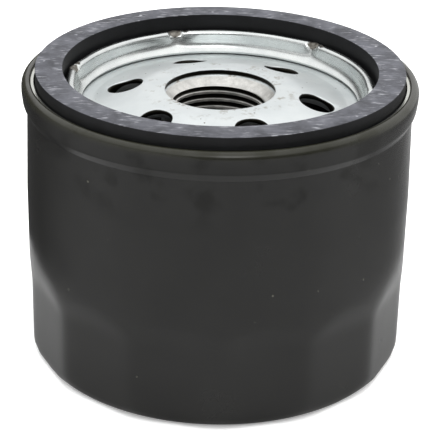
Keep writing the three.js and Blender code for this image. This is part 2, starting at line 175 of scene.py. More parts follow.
def draw(name, line, turn=0.0, closed=False):
    """Traces a line of (radius, height) points, upright at a turn."""
    return trace(name, [at(radius, height, turn) for radius, height in line], closed)


def pick(piece, kind, test):
    """Selects the vertices or edges whose middle passes the test."""
    bpy.ops.mesh.select_mode(type=kind)
    bpy.ops.mesh.select_all(action="DESELECT")
    shape = bmesh.from_edit_mesh(piece.data)
    for part in shape.verts if kind == "VERT" else shape.edges:
        corners = [part.co] if kind == "VERT" else [vertex.co for vertex in part.verts]
        part.select_set(bool(test(sum(corners, Vector()) / len(corners))))
    shape.select_flush_mode()
    bmesh.update_edit_mesh(piece.data)


def spin(steps, degrees=360, copies=False):
    """Sweeps what is selected about the axis, from the front towards +X."""
    bpy.ops.mesh.spin(steps=steps, dupli=copies, angle=radians(degrees), center=(0, 0, 0),
                      axis=(0, 0, -1))


def heal():
    """Merges the doubles that turning leaves, turns every face outwards and leaves edit mode."""
    bpy.ops.mesh.select_mode(type="VERT")
    pick_all()
    bpy.ops.mesh.remove_doubles(threshold=merge_gap)
    bpy.ops.mesh.normals_make_consistent(inside=False)
    bpy.ops.object.mode_set(mode="OBJECT")


def modify(piece, kind, **settings):
    """Applies one modifier to a piece."""
    bpy.context.view_layer.objects.active = piece
    modifier = piece.modifiers.new(kind.title(), kind)
    for setting, value in settings.items():
        setattr(modifier, setting, value)
    bpy.ops.object.modifier_apply(modifier=modifier.name)


def smooth(piece, degrees=35):
    """Shades a piece smooth, apart from edges sharper than the angle."""
    bpy.ops.object.select_all(action="DESELECT")
    piece.select_set(True)
    bpy.context.view_layer.objects.active = piece
    bpy.ops.object.shade_smooth_by_angle(angle=radians(degrees))


def weigh(piece, name, weight):
    """Paints a vertex group by place."""
    group = piece.vertex_groups.new(name=name)
    for vertex in piece.data.vertices:
        group.add([vertex.index], ramp(weight(vertex.co), 0, 1), "REPLACE")


def discard(tool):
    """Deletes a pressing or cutting tool once it has done its work."""
    bpy.data.objects.remove(tool)


can = draw("painted_can", bent([
    (0, floor_panel_rise, 0),
    (floor_panel_radius, floor_panel_rise, 1 * MM),
    (floor_panel_radius + 1.5 * MM, 0, 1 * MM),
    (body_radius, 0, corner_bend),
    (body_radius, neck_start, 60 * MM),
    (neck_radius, neck_top, 0.5 * MM),
    (bead_radius - 0.22 * MM, neck_top + 1.6 * MM, 2.5 * MM),
    (bead_radius, neck_top + 3.6 * MM, 3 * MM),
    (bead_radius, bead_top - 0.05 * MM, 1.25 * MM),
    (fold_radius, bead_top, 0.5 * MM),
    (fold_radius, bead_top - 0.51 * MM, 0),
]), turn=flat_turn)
pick(can, "EDGE", lambda spot: spot.xy.length > body_radius - hair
     and corner_bend < spot.z < flat_top + 5 * MM)
bpy.ops.mesh.subdivide(number_cuts=wall_rings)
pick_all()
spin(flat_count * columns_per_flat)
heal()

# The press die: a prism with a side for each flat, leaning out above them to run the flats out.
bpy.ops.object.select_all(action="DESELECT")
bpy.ops.mesh.primitive_circle_add(vertices=flat_count, radius=flat_reach / cos(pi / flat_count),
                                  fill_type="NGON", location=(0, 0, -1 * MM),
                                  rotation=(0, 0, radians(flat_turn)))
die = begin("flat_die")
for rise, spread in ((flat_top + 1 * MM, 1), (flat_run_out, body_radius / flat_reach), (60 * MM, 1.5)):
    extrude((0, 0, rise))
    bpy.ops.transform.resize(value=(spread, spread, 1), center_override=(0, 0, 0))
heal()
modify(can, "SHRINKWRAP", target=die, wrap_method="NEAREST_SURFACEPOINT", wrap_mode="INSIDE")
discard(die)

# Drawn sheet has no sharp folds, so the flats' edges are eased, less and less up the wall.
weigh(can, "eased", lambda spot: (spot.xy.length > floor_panel_radius + 4 * MM)
      * ramp(spot.z, neck_start, ease_whole) * ramp(spot.z, ease_start, ease_full))
modify(can, "SMOOTH", factor=0.5, iterations=9, vertex_group="eased")
modify(can, "SOLIDIFY", thickness=sheet, offset=-1)
can.vertex_groups.clear()
smooth(can)


def linear(colour):
    """A hex sRGB colour as linear red, green, blue and alpha."""
    parts = [int(colour[i:i + 2], 16) / 255 for i in (1, 3, 5)]
    return [part / 12.92 if part <= 0.04045 else ((part + 0.055) / 1.055) ** 2.4 for part in parts] + [1]


def add(material, kind, sockets=None, operation=None, stops=(), **settings):
    """Adds one shader node, with its sockets set to values or joined to other nodes' outputs."""
    node = material.node_tree.nodes.new("ShaderNode" + kind)
    if operation:
        node.operation = operation
    for setting, value in settings.items():
        setattr(node, setting, value)
    for socket, value in (sockets or {}).items():
        if isinstance(value, bpy.types.NodeSocket):
            material.node_tree.links.new(value, node.inputs[socket])
        else:
            node.inputs[socket].default_value = value
    for i, (position, colour) in enumerate(stops):
        element = node.color_ramp.elements[i] if i < 2 else node.color_ramp.elements.new(position)
        element.position, element.color = position, linear(colour)
    return node.outputs


def new_material(name):
    """An empty material, the function that adds its nodes, and the place that its patterns follow."""
    material = bpy.data.materials.new(name)
    material.use_nodes = True
    material.node_tree.nodes.clear()
    node = partial(add, material)
    return material, node, node("TexCoord")["Object"]


def surface(node, sockets, relief, strength, depth):
    """Ends a material with its shader and output, over a fine relief."""
    bump = node("Bump", {"Strength": strength, "Distance": depth, "Height": relief})[0]
    shader = node("BsdfPrincipled", {**sockets, "Normal": bump})
    node("OutputMaterial", {0: shader[0]})


def from_axis(node, spot):
    """The parts of a point's place and its distance from the axis, as node outputs."""
    place = node("SeparateXYZ", {0: spot})
    flat = node("CombineXYZ", {0: place[0], 1: place[1]})[0]
    return place, node("VectorMath", {0: flat}, "LENGTH")["Value"]


def satin_black_enamel():
    """Stoved black enamel on steel: a faint orange peel, handling smudges, pale nicks, dust specks and a
    painted olive sheen on the bead's crown.
    """
    material, node, spot = new_material("satin black enamel on steel")
    place, radius = from_axis(node, spot)
    ragged = node("TexNoise", {"Vector": spot, "Scale": 900, "Detail": 3})[0]
    edge = node("Math", {0: ragged, 1: 0.22 * MM, 2: fold_radius - 0.02 * MM}, "MULTIPLY_ADD")[0]
    inside = node("Math", {0: radius, 1: edge}, "LESS_THAN")[0]
    high = node("Math", {0: place[2], 1: bead_top - 2 * MM}, "GREATER_THAN")[0]
    bare = node("Math", {0: inside, 1: high}, "MULTIPLY")[0]

    cells = node("TexVoronoi", {"Vector": spot, "Scale": 420, "Randomness": 1})["Distance"]
    speck = node("Math", {0: cells, 1: 0.09}, "LESS_THAN")[0]
    rare = node("TexNoise", {"Vector": spot, "Scale": 260, "Detail": 1})[0]
    rare = node("Math", {0: rare, 1: 0.66}, "GREATER_THAN")[0]
    dust = node("Math", {0: speck, 1: rare}, "MULTIPLY")[0]

    smudge = node("TexNoise", {"Vector": spot, "Scale": 90, "Detail": 5, "Roughness": 0.6})[0]
    tone = node("ValToRGB", {0: smudge}, stops=[(0.3, "#0d0d0b"), (0.7, "#151513")])[0]
    # Painted sheen: the bead's crown is coloured a lighter olive, standing in for the reflection on its top.
    crown_painted_sheen = node("MapRange", {0: place[2], 1: bead_top - 1.6 * MM, 2: bead_top - 0.4 * MM})[0]
    tone = node("Mix", {0: crown_painted_sheen, 6: tone, 7: linear("#24241b")}, data_type="RGBA")[2]
    dusty = node("Mix", {0: dust, 6: tone, 7: linear("#4a4a42")}, data_type="RGBA")[2]
    colour = node("Mix", {0: bare, 6: dusty, 7: linear("#c8c9c2")}, data_type="RGBA")[2]

    gloss = node("MapRange", {0: smudge, 1: 0.3, 2: 0.7, 3: 0.2, 4: 0.28})[0]
    handled = node("TexNoise", {"Vector": spot, "Scale": 170, "Detail": 4, "Roughness": 0.55})[0]
    rubbed = node("MapRange", {0: handled, 1: 0.5, 2: 0.62, 3: 0.44, 4: 0.3})[0]
    under_bead = node("MapRange", {0: place[2], 1: 40 * MM, 2: 46 * MM})[0]
    shine = node("Mix", {0: under_bead, 2: 0.43, 3: rubbed})[0]
    peel = node("TexNoise", {"Vector": spot, "Scale": 700, "Detail": 2})[0]
    surface(node, {"Base Color": colour, "Metallic": bare, "Roughness": gloss, "Specular IOR Level": shine},
            relief=peel, strength=0.12, depth=0.05 * MM)
    return material


can.data.materials.append(satin_black_enamel())
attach(can, "shell")
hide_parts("can")


# ---------------- seaming lid
# A ring pressed from 0.5 mm zinc-plated steel. Its rim hooks into the can's bead, its channel holds the
# gasket, and its folded lip is pinched outwards at six nibs, which hold the gasket and pull the lip
# into a soft hexagon. Its inner flange bears on the tapping plate.

channel_wall = 36.1 * MM
channel_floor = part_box("gasket")[0].z - 0.05 * MM
lip_outer = 29.35 * MM
lip_inner = 27.75 * MM
lip_top = channel_floor + 2.3 * MM
wall_foot = channel_floor - 1 * MM
flange_inner = 26.6 * MM
flange_foot = channel_floor - 1.6 * MM
nib_count = 6
nib_turn = 19.5
nib_push = 0.75 * MM
nib_reach = 5.4 * MM
nib_half = 1.6 * MM
strike_depth = 0.45 * MM
strike_edge = 0.4 * MM
pin_mark = Vector((-2.2 * MM, -lip_outer + 0.5 * MM, lip_top))
pin_radius = 0.8 * MM


def doubled(corners, thickness):
    """The closed outline of a bent sheet whose face follows the corners, with its metal on their left."""
    steps = [(Vector(b[:2]) - Vector(a[:2])).normalized() for a, b in zip(corners, corners[1:])]
    back = []
    for i, (radius, height, bend) in enumerate(corners):
        before, after = steps[max(i - 1, 0)], steps[min(i, len(steps) - 1)]
        left = Vector((-before.y, before.x)) + Vector((-after.y, after.x))
        left *= thickness / (1 + before.dot(after))
        inside = before.cross(after) > 0
        tighter = max(bend - thickness, 0.08 * MM) if inside else bend + thickness
        back.append((radius + left.x, height + left.y, tighter if bend else 0))
    return bent(corners) + bent(back)[::-1]


def copy_round(count):
    """Copies what is selected to make a ring of them."""
    spin(count - 1, degrees=360 - 360 / count, copies=True)


# One nib in the middle of a sixth of the lid, at the front, with finer steps round the nib.
lid = draw("seaming_ring", doubled([
    (37.3 * MM, 53.4 * MM, 0),
    (37.3 * MM, 55.5 * MM, 0.58 * MM),
    (channel_wall, 55.5 * MM, 0.58 * MM),
    (channel_wall, channel_floor, 0.5 * MM),
    (lip_outer, channel_floor, 0.5 * MM),
    (lip_outer, lip_top, 0.6 * MM),
    (lip_inner, lip_top, 0.75 * MM),
    (lip_inner, wall_foot, 1.8 * MM),
    (flange_inner, flange_foot, 0),
], sheet), turn=-180 / nib_count, closed=True)
pick(lid, "EDGE", lambda spot: spot.xy.length < lip_outer + 0.1 * MM
     and channel_floor + 0.6 * MM < spot.z < lip_top - 0.7 * MM)
bpy.ops.mesh.subdivide(number_cuts=3)
pick(lid, "EDGE", lambda spot: lip_inner + 0.5 * MM < spot.xy.length < lip_outer - 0.5 * MM
     and spot.z > lip_top - 1 * MM)
bpy.ops.mesh.subdivide(number_cuts=2)
pick_all()
for share, steps in ((20, 14), (20, 56), (20, 14)):
    spin(steps, degrees=share)
bpy.ops.object.mode_set(mode="OBJECT")

# The wall is pushed out, most at its top; the crown is struck flat; a pin mark is left beside it.
weigh(lid, "pushed", lambda spot: ramp(abs(spot.x), nib_reach, 0) ** 1.6
      * (spot.z - flange_foot) / (lip_top - flange_foot) * (spot.xy.length < lip_outer + 0.05 * MM)
      + 0.35 * ramp(abs(spot.x), nib_half, 0) * (spot.xy.length < lip_inner + 0.6 * MM)
      * (spot.z - wall_foot) / (lip_top - wall_foot))
modify(lid, "DISPLACE", direction="Y", strength=-nib_push, mid_level=0, vertex_group="pushed")
weigh(lid, "struck", lambda spot: (spot.z > lip_top - 1.1 * MM) * (
      ramp(abs(spot.x), nib_half, nib_half - strike_edge)
      * ramp(spot.y, -lip_outer - 0.5 * MM, -lip_outer + 0.9 * MM)
      * ramp(spot.z, lip_top - 1.1 * MM, lip_top - 0.4 * MM)
      + 0.8 * ramp((spot - pin_mark).length, pin_radius, 0)))
modify(lid, "DISPLACE", direction="Z", strength=-strike_depth, mid_level=0, vertex_group="struck")
lid.vertex_groups.clear()
lid.rotation_euler.z = radians(nib_turn)
bpy.ops.object.transform_apply(rotation=True)
bpy.ops.object.mode_set(mode="EDIT")
pick_all()
copy_round(nib_count)
heal()
smooth(lid, 50)


def round_the_ring(node, spot):
    """A point's radius and height, and its distance round the ring from the nearest nib."""
    place, radius = from_axis(node, spot)
    back = node("Math", {0: place[1], 1: -1}, "MULTIPLY")[0]
    turn = node("Math", {0: place[0], 1: back}, "ARCTAN2")[0]
    from_nib = node("Math", {0: turn, 1: radians(nib_turn)}, "SUBTRACT")[0]
    sector = pi / nib_count
    away = node("Math", {0: from_nib, 1: -sector, 2: sector}, "WRAP")[0]
    return radius, place[2], node("Math", {0: away, 1: radius}, "MULTIPLY")[0]


def zinc_plated_sheet():
    """Bright zinc on cold-rolled sheet: cloudy sheen, draw marks, scuffed nibs and painted shade on the
    channel's outer wall by the seam.
    """
    material, node, spot = new_material("zinc-plated pressed steel")
    radius, height, arc = round_the_ring(node, spot)
    inward = node("Math", {0: radius, 1: lip_inner + nib_push + 0.6 * MM}, "SUBTRACT")[0]
    upward = node("Math", {0: height, 1: lip_top - 0.4 * MM}, "SUBTRACT")[0]
    off = node("CombineXYZ", {0: arc, 1: inward, 2: upward})[0]
    off = node("VectorMath", {0: off, 1: (0.85, 1.1, 1)}, "MULTIPLY")[0]
    distance = node("VectorMath", {0: off}, "LENGTH")["Value"]
    grain = node("TexNoise", {"Vector": spot, "Scale": 1400, "Detail": 3})[0]
    ragged = node("Math", {0: grain, 1: 0.5 * MM, 2: distance}, "MULTIPLY_ADD")[0]
    rub = node("MapRange", {0: ragged, 1: 1.5 * MM, 2: 1.3 * MM})[0]
    pin = node("VectorMath", {0: off, 1: (2.4 * MM * 0.85, 0, 0)}, "ADD")[0]
    pin = node("VectorMath", {0: pin}, "LENGTH")["Value"]
    pin = node("MapRange", {0: pin, 1: 0.8 * MM, 2: 0.5 * MM})[0]
    rub = node("Math", {0: rub, 1: pin}, "MAXIMUM")[0]

    cloud = node("TexNoise", {"Vector": spot, "Scale": 160, "Detail": 4, "Roughness": 0.6})[0]
    zinc = node("ValToRGB", {0: cloud}, stops=[(0.3, "#ccd0d0"), (0.7, "#dfe2e0")])[0]
    scuffed = node("ValToRGB", {0: grain}, stops=[(0.35, "#65625c"), (0.7, "#a09c95")])[0]
    colour = node("Mix", {0: rub, 6: zinc, 7: scuffed}, data_type="RGBA")[2]
    # Painted shade: the channel's outer wall and the hook, in the slot between gasket and bead, are coloured
    # near black and made not metallic.
    slot_painted_shade = node("MapRange", {0: radius, 1: 35.3 * MM, 2: 35.8 * MM})[0]
    colour = node("Mix", {0: slot_painted_shade, 6: colour, 7: linear("#24231f")}, data_type="RGBA")[2]
    bare = node("Math", {0: 1.0, 1: slot_painted_shade}, "SUBTRACT")[0]

    drawn = node("Math", {0: arc, 1: 0.03}, "MULTIPLY")[0]
    drawn = node("CombineXYZ", {0: radius, 1: height, 2: drawn})[0]
    draws = node("TexNoise", {"Vector": drawn, "Scale": 2600, "Detail": 2})[0]
    gloss = node("MapRange", {0: draws, 1: 0.3, 2: 0.7, 3: 0.2, 4: 0.3})[0]
    gloss = node("Math", {0: rub, 1: 0.25, 2: gloss}, "MULTIPLY_ADD")[0]
    relief = node("Math", {0: draws, 1: grain}, "ADD")[0]
    surface(node, {"Base Color": colour, "Metallic": bare, "Roughness": gloss},
            relief=relief, strength=0.18, depth=0.03 * MM)
    return material


lid.data.materials.append(zinc_plated_sheet())
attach(lid, "shell")
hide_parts("seaming_lid")


# ---------------- tapping plate
# The 2 mm plate that carries the load: dished, domed up to a hub, drawn down into a skirt and tapped to
# screw on the engine's nipple. Its six inlet holes are punched from above, which rolls their edges in.

plate_low, plate_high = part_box("base_plate")
plate_thickness = 2 * MM
hub_top = plate_high.z
skirt_foot = plate_low.z
skirt_radius = 11.275 * MM
hub_mouth = 10.575 * MM
thread_major = 9.525 * MM
thread_minor = 8.7 * MM
thread_pitch = 1.5875 * MM
funnel_foot = hub_top - 2.9 * MM
flange_top = channel_floor - sheet - 0.05 * MM
valley_top = channel_floor - 2.25 * MM
valley_inner = 24.3 * MM
dome_outer = 15.0 * MM
inlet_radius = 3.35 * MM
inlet_circle = 18.79 * MM
edge_roll = 0.5 * MM
punch_land = 0.35 * MM
punch_depth = 4 * MM
punch_taper = 1.6 * MM
punch_height = 3 * MM


def cut(piece, tool, overlapping=False):
    """Cuts a tool's shape out of a piece and deletes the tool."""
    modify(piece, "BOOLEAN", object=tool, operation="DIFFERENCE", solver="EXACT", use_self=overlapping)
    discard(tool)


dish = [
    (35.7 * MM, flange_top, 0),
    (28.85 * MM, flange_top, 0.5 * MM),
    (28.3 * MM, valley_top, 0.6 * MM),
    (valley_inner, valley_top, 3 * MM),
    (dome_outer, hub_top, 9 * MM),
    (skirt_radius, hub_top, 0),
]
bore = bent([
    (skirt_radius, hub_top, 0),
    (hub_mouth, hub_top, 0.15 * MM),
    (hub_mouth + 0.25 * MM, hub_top - 1.2 * MM, 0.15 * MM),
    (9.45 * MM, funnel_foot + 0.45 * MM, 0.3 * MM),
    (thread_minor + 0.12 * MM, funnel_foot, 0.1 * MM),
    (thread_minor, funnel_foot - 0.3 * MM, 0),
    (thread_minor, skirt_foot, 0),
    (skirt_radius, skirt_foot, 0),
])
top_line = bent(dish)
underside = doubled(dish, plate_thickness)[len(top_line):]
plate = draw("tapping_plate", top_line[:-1] + bore + underside, turn=nib_turn, closed=True)
spin(180)
heal()

# The tap: a 60-degree groove profile carried up the bore, one pitch a turn, till it runs out in the funnel.
groove_inner = thread_minor - 0.3 * MM
root_half = thread_pitch / 16
groove_half = root_half + (thread_major - groove_inner) * tan(radians(30))
tap_start = skirt_foot - 1.5 * MM
tap_turns = 6
tap = draw("tap", [
    (groove_inner, tap_start - groove_half),
    (thread_major, tap_start - root_half),
    (thread_major, tap_start + root_half),
    (groove_inner, tap_start + groove_half),
], closed=True)
bpy.ops.object.mode_set(mode="OBJECT")
modify(tap, "SCREW", axis="Z", screw_offset=thread_pitch, iterations=tap_turns, steps=72, render_steps=72)
bpy.ops.object.mode_set(mode="EDIT")
bpy.ops.mesh.select_mode(type="EDGE")
bpy.ops.mesh.select_all(action="DESELECT")
bpy.ops.mesh.select_non_manifold()
bpy.ops.mesh.fill()
heal()
cut(plate, tap)

# The inlet punch, with a shoulder that rolls the hole's edge, leaned square to the dome's slope.
rolled_edge = [
    (inlet_radius + edge_roll * (1 - cos(radians(a))), edge_roll * (sin(radians(a)) - 1))
    for a in range(0, 91, 15)]
punch = draw("inlet_punches", [
    (0, -punch_depth),
    (inlet_radius + punch_taper, -punch_depth),
    (inlet_radius, -edge_roll - punch_land),
    *rolled_edge,
    (inlet_radius + 2 * edge_roll, 0.12 * MM),
    (inlet_radius + 2 * edge_roll, punch_height),
    (0, punch_height),
])
pick_all()
spin(48)
slope = atan2(hub_top - valley_top, valley_inner - dome_outer)
inlet_height = valley_top + (valley_inner - inlet_circle) * tan(slope) + 0.02 * MM
heal()
punch.matrix_world = (Matrix.Rotation(radians(nib_turn), 4, "Z")
                      @ Matrix.Translation((0, -inlet_circle, inlet_height))
                      @ Matrix.Rotation(slope, 4, "X"))
bpy.ops.object.select_all(action="DESELECT")
punch.select_set(True)
bpy.context.view_layer.objects.active = punch
begin("inlet_punches")
pick_all()
copy_round(nib_count)
heal()
cut(plate, punch)
smooth(plate, 30)


def zinc_plated_plate():
    """Dull bluish zinc on heavy plate: fine matt grain, black specks, tan stains, rubs by the hub, and
    painted shade in the thread, on the hub's wall and in the inlet holes.
    """
    material, node, spot = new_material("dull zinc-plated steel plate")
    radius, height, arc = round_the_ring(node, spot)
    cloud = node("TexNoise", {"Vector": spot, "Scale": 120, "Detail": 5, "Roughness": 0.6})[0]
    zinc = node("ValToRGB", {0: cloud}, stops=[(0.3, "#d3d8d9"), (0.7, "#e0e4e4")])[0]

    near_hub = node("MapRange", {0: radius, 1: 16.5 * MM, 2: 11 * MM})[0]
    blotch = node("TexNoise", {"Vector": spot, "Scale": 420, "Detail": 6, "Roughness": 0.7})[0]
    stain = node("MapRange", {0: blotch, 1: 0.54, 2: 0.66, 4: 0.8})[0]
    stain = node("Math", {0: stain, 1: near_hub}, "MULTIPLY")[0]
    colour = node("Mix", {0: stain, 6: zinc, 7: linear("#8d8271")}, data_type="RGBA")[2]

    cells = node("TexVoronoi", {"Vector": spot, "Scale": 620, "Randomness": 1})["Distance"]
    speck = node("MapRange", {0: cells, 1: 0.13, 2: 0.07})[0]
    rare = node("TexNoise", {"Vector": spot, "Scale": 330, "Detail": 1})[0]
    rare = node("Math", {0: rare, 1: 0.54}, "GREATER_THAN")[0]
    speck = node("Math", {0: speck, 1: rare}, "MULTIPLY")[0]
    colour = node("Mix", {0: speck, 6: colour, 7: linear("#5c574e")}, data_type="RGBA")[2]

    in_mouth = node("Math", {0: radius, 1: hub_mouth}, "LESS_THAN")[0]
    sunk = node("Math", {0: height, 1: hub_top - 0.9 * MM}, "LESS_THAN")[0]
    in_hub = node("Math", {0: in_mouth, 1: sunk}, "MULTIPLY")[0]
    worked = node("ValToRGB", {0: blotch}, stops=[(0.3, "#bab9b5"), (0.7, "#eeede9")])[0]
    colour = node("Mix", {0: in_hub, 6: colour, 7: worked}, data_type="RGBA")[2]

    # Painted shade: the thread's grooves, the hub's upright wall under the mouth and the walls of the punched
    # holes are coloured near black, where shade and dark reflections fall.
    deep = node("MapRange", {0: radius, 1: thread_minor + 0.12 * MM, 2: thread_minor + 0.3 * MM})[0]
    threaded = node("Math", {0: height, 1: funnel_foot - 0.1 * MM}, "LESS_THAN")[0]
    narrow = node("Math", {0: radius, 1: thread_major + 0.05 * MM}, "LESS_THAN")[0]
    groove = node("Math", {0: deep, 1: threaded}, "MULTIPLY")[0]
    groove = node("Math", {0: groove, 1: narrow}, "MULTIPLY")[0]
    ragged = node("Math", {0: blotch, 1: 0.25 * MM, 2: height}, "MULTIPLY_ADD")[0]
    above = node("MapRange", {0: ragged, 1: hub_top - 0.98 * MM, 2: hub_top - 0.88 * MM})[0]
    below = node("MapRange", {0: ragged, 1: hub_top + 0.02 * MM, 2: hub_top - 0.1 * MM})[0]
    inside = node("Math", {0: radius, 1: hub_mouth + 0.4 * MM}, "LESS_THAN")[0]
    wall = node("Math", {0: above, 1: below}, "MULTIPLY")[0]
    wall = node("Math", {0: wall, 1: inside}, "MULTIPLY")[0]
    out = node("Math", {0: radius, 1: inlet_circle}, "SUBTRACT")[0]
    off_axis = node("CombineXYZ", {0: arc, 1: out})[0]
    off_axis = node("VectorMath", {0: off_axis}, "LENGTH")["Value"]
    punched = node("MapRange", {0: off_axis, 1: inlet_radius + 0.14 * MM, 2: inlet_radius + 0.04 * MM})[0]
    painted_shade = node("Math", {0: groove, 1: wall}, "MAXIMUM")[0]
    painted_shade = node("Math", {0: painted_shade, 1: punched}, "MAXIMUM")[0]
    colour = node("Mix", {0: painted_shade, 6: colour, 7: linear("#26241f")}, data_type="RGBA")[2]

    gloss = node("MapRange", {0: blotch, 1: 0.3, 2: 0.7, 3: 0.44, 4: 0.54})[0]
    grain = node("TexNoise", {"Vector": spot, "Scale": 2200, "Detail": 3})[0]
    surface(node, {"Base Color": colour, "Metallic": 1.0, "Roughness": gloss},
            relief=grain, strength=0.2, depth=0.03 * MM)
    return material


plate.data.materials.append(zinc_plated_plate())
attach(plate, "shell")
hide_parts("base_plate")


# ---------------- gasket
# A ring cut from nitrile rubber sheet, square in section. It sits in the lid's channel, held by the nibs,
# and seals on the engine. Cutting leaves its top face dull and scored, dusted with pale talc.

# From here on, pieces stop this far inside their boxes in the frame.
inset = 0.02 * MM

gasket_low, gasket_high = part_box("gasket")
gasket_outer = gasket_high.x - inset
gasket_inner = gasket_outer - 5.2 * MM
gasket_top = gasket_high.z


def turned(piece, steps, degrees=35):
    """Turns an outline into a ring or disc and finishes it."""
    spin(steps)
    heal()
    smooth(piece, degrees)


gasket = draw("nitrile_gasket", bent([
    (gasket_outer, gasket_low.z + 1 * MM, 0),
    (gasket_outer, gasket_top, 0.12 * MM),
    (gasket_inner, gasket_top, 0.12 * MM),
    (gasket_inner, gasket_low.z, 0.12 * MM),
    (gasket_outer, gasket_low.z, 0.12 * MM),
    (gasket_outer, gasket_low.z + 1 * MM, 0),
], steps=3), closed=True)
turned(gasket, 192, 50)


def cut_nitrile():
    """Black nitrile: the sides near black and smooth, the cut face grey-blue with pale scores and talc."""
    material, node, spot = new_material("cut nitrile rubber")
    height = node("SeparateXYZ", {0: spot})[2]
    face = node("MapRange", {0: height, 1: gasket_top - 0.09 * MM, 2: gasket_top - 0.02 * MM})[0]
    mottle = node("TexNoise", {"Vector": spot, "Scale": 210, "Detail": 6, "Roughness": 0.65})[0]
    body = node("ValToRGB", {0: mottle}, stops=[(0.3, "#0b0b0c"), (0.7, "#151618")])[0]
    sliced = node("ValToRGB", {0: mottle}, stops=[(0.25, "#292a2e"), (0.75, "#606168")])[0]

    stroke = node("VectorMath", {0: spot, 1: (0.16, 1, 1)}, "MULTIPLY")[0]
    scores = node("TexNoise", {"Vector": stroke, "Scale": 2300, "Detail": 3, "Roughness": 0.6})[0]
    scored = node("MapRange", {0: scores, 1: 0.55, 2: 0.7})[0]
    dusting = node("TexNoise", {"Vector": spot, "Scale": 330, "Detail": 2})[0]
    dusty = node("MapRange", {0: dusting, 1: 0.38, 2: 0.58})[0]
    pale = node("Math", {0: scored, 1: dusty}, "MULTIPLY")[0]
    cells = node("TexVoronoi", {"Vector": spot, "Scale": 480, "Randomness": 1})["Distance"]
    fleck = node("MapRange", {0: cells, 1: 0.2, 2: 0.1})[0]
    dustiest = node("MapRange", {0: dusting, 1: 0.56, 2: 0.62})[0]
    fleck = node("Math", {0: fleck, 1: dustiest}, "MULTIPLY")[0]
    talc = node("Math", {0: pale, 1: fleck}, "MAXIMUM")[0]
    talc = node("Math", {0: talc, 1: 0.7}, "MULTIPLY")[0]

    dusted = node("Mix", {0: talc, 6: sliced, 7: linear("#b9bac0")}, data_type="RGBA")[2]
    colour = node("Mix", {0: face, 6: body, 7: dusted}, data_type="RGBA")[2]
    gloss = node("MapRange", {0: face, 3: 0.5, 4: 0.62})[0]
    relief = node("Math", {0: scores, 1: mottle}, "ADD")[0]
    surface(node, {"Base Color": colour, "Roughness": gloss, "Specular IOR Level": 0.28},
            relief=relief, strength=0.35, depth=0.06 * MM)
    return material


gasket.data.materials.append(cut_nitrile())
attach(gasket, "shell")
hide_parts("gasket")


# ---------------- seam compound
# The bead of sealing compound flowed round the can's flange before it was seamed. It sets to a grey rubber
# and stays trapped under the end of the lid's hook, which makes the double seam oil-tight.

compound_low, compound_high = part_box("seam_compound")
compound_middle = (compound_low.z + compound_high.z) / 2
compound_half = (compound_high.z - compound_low.z) / 2 - inset
compound_width = 0.5 * MM
compound_radius = compound_high.x - compound_width / 2

sealant = draw("seam_sealant_bead", [
    (compound_radius + 0.48 * compound_width * cos(radians(a)),
     compound_middle + compound_half * sin(radians(a))) for a in range(0, 360, 30)], closed=True)
turned(sealant, 192, 60)


def moulded(name, dark, light, gloss):
    """A soft or set compound: two close tones in soft clouds, with a fine skin texture."""
    material, node, spot = new_material(name)
    cloud = node("TexNoise", {"Vector": spot, "Scale": 180, "Detail": 4, "Roughness": 0.6})[0]
    tone = node("ValToRGB", {0: cloud}, stops=[(0.3, dark), (0.7, light)])[0]
    skin = node("TexNoise", {"Vector": spot, "Scale": 900, "Detail": 3})[0]
    surface(node, {"Base Color": tone, "Roughness": gloss}, relief=skin, strength=0.25, depth=0.05 * MM)
    return material


sealant.data.materials.append(moulded("grey water-based sealing compound", "#6a6c6c", "#7c7e7d", 0.7))
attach(sealant, "shell")
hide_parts("seam_compound")


# ---------------- anti-drain valve
# A flap moulded in black nitrile. Its collar is pinched between the plate's skirt and the element, and its
# cone reaches out under the inlet holes. Oil coming in pushes the thin lip down; at rest it keeps oil in.

valve_low, valve_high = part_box("anti_drain_valve")
collar_inner = 11.45 * MM
collar_outer = 13.8 * MM
collar_top = valve_low.z + 2.3 * MM
lip_radius = valve_high.x - 0.05 * MM
flap = 0.9 * MM

valve = draw("drain_valve_flap", bent([
    (collar_inner, valve_low.z + MM, 0),
    (collar_inner, valve_low.z, 0.25 * MM),
    (collar_outer, valve_low.z, 0.25 * MM),
    (collar_outer, collar_top - flap, 0.8 * MM),
    (lip_radius - 2 * MM, valve_high.z - flap - 0.35 * MM, 4 * MM),
    (lip_radius, valve_high.z - 0.5 * MM, 0.15 * MM),
    (lip_radius, valve_high.z, 0.15 * MM),
    (lip_radius - 2.2 * MM, valve_high.z - 0.25 * MM, 3 * MM),
    (collar_outer + 0.2 * MM, collar_top + 0.15 * MM, 1.2 * MM),
    (collar_inner, collar_top, 0.3 * MM),
    (collar_inner, valve_low.z + MM, 0),
]), closed=True)
turned(valve, 144, 45)

valve.data.materials.append(moulded("moulded black nitrile", "#0b0b0c", "#141415", 0.42))
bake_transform(valve)
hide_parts("anti_drain_valve")


# ---------------- upper end cap
# The element's top plate, pressed from tinplate: a rim round the paper, and a neck that hangs in the tube.

cap_sheet = 0.5 * MM
upper_low, upper_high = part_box("upper_end_cap")
cap_radius = upper_high.x - inset
cap_rim = 3 * MM
neck_inner = 11.275 * MM

upper_cap = draw("top_cap_pressing", doubled([
    (cap_radius, upper_high.z - cap_rim, 0),
    (cap_radius, upper_high.z, 1 * MM),
    (neck_inner, upper_high.z, 0.8 * MM),
    (neck_inner, upper_low.z, 0),
], cap_sheet), closed=True)
turned(upper_cap, 144)


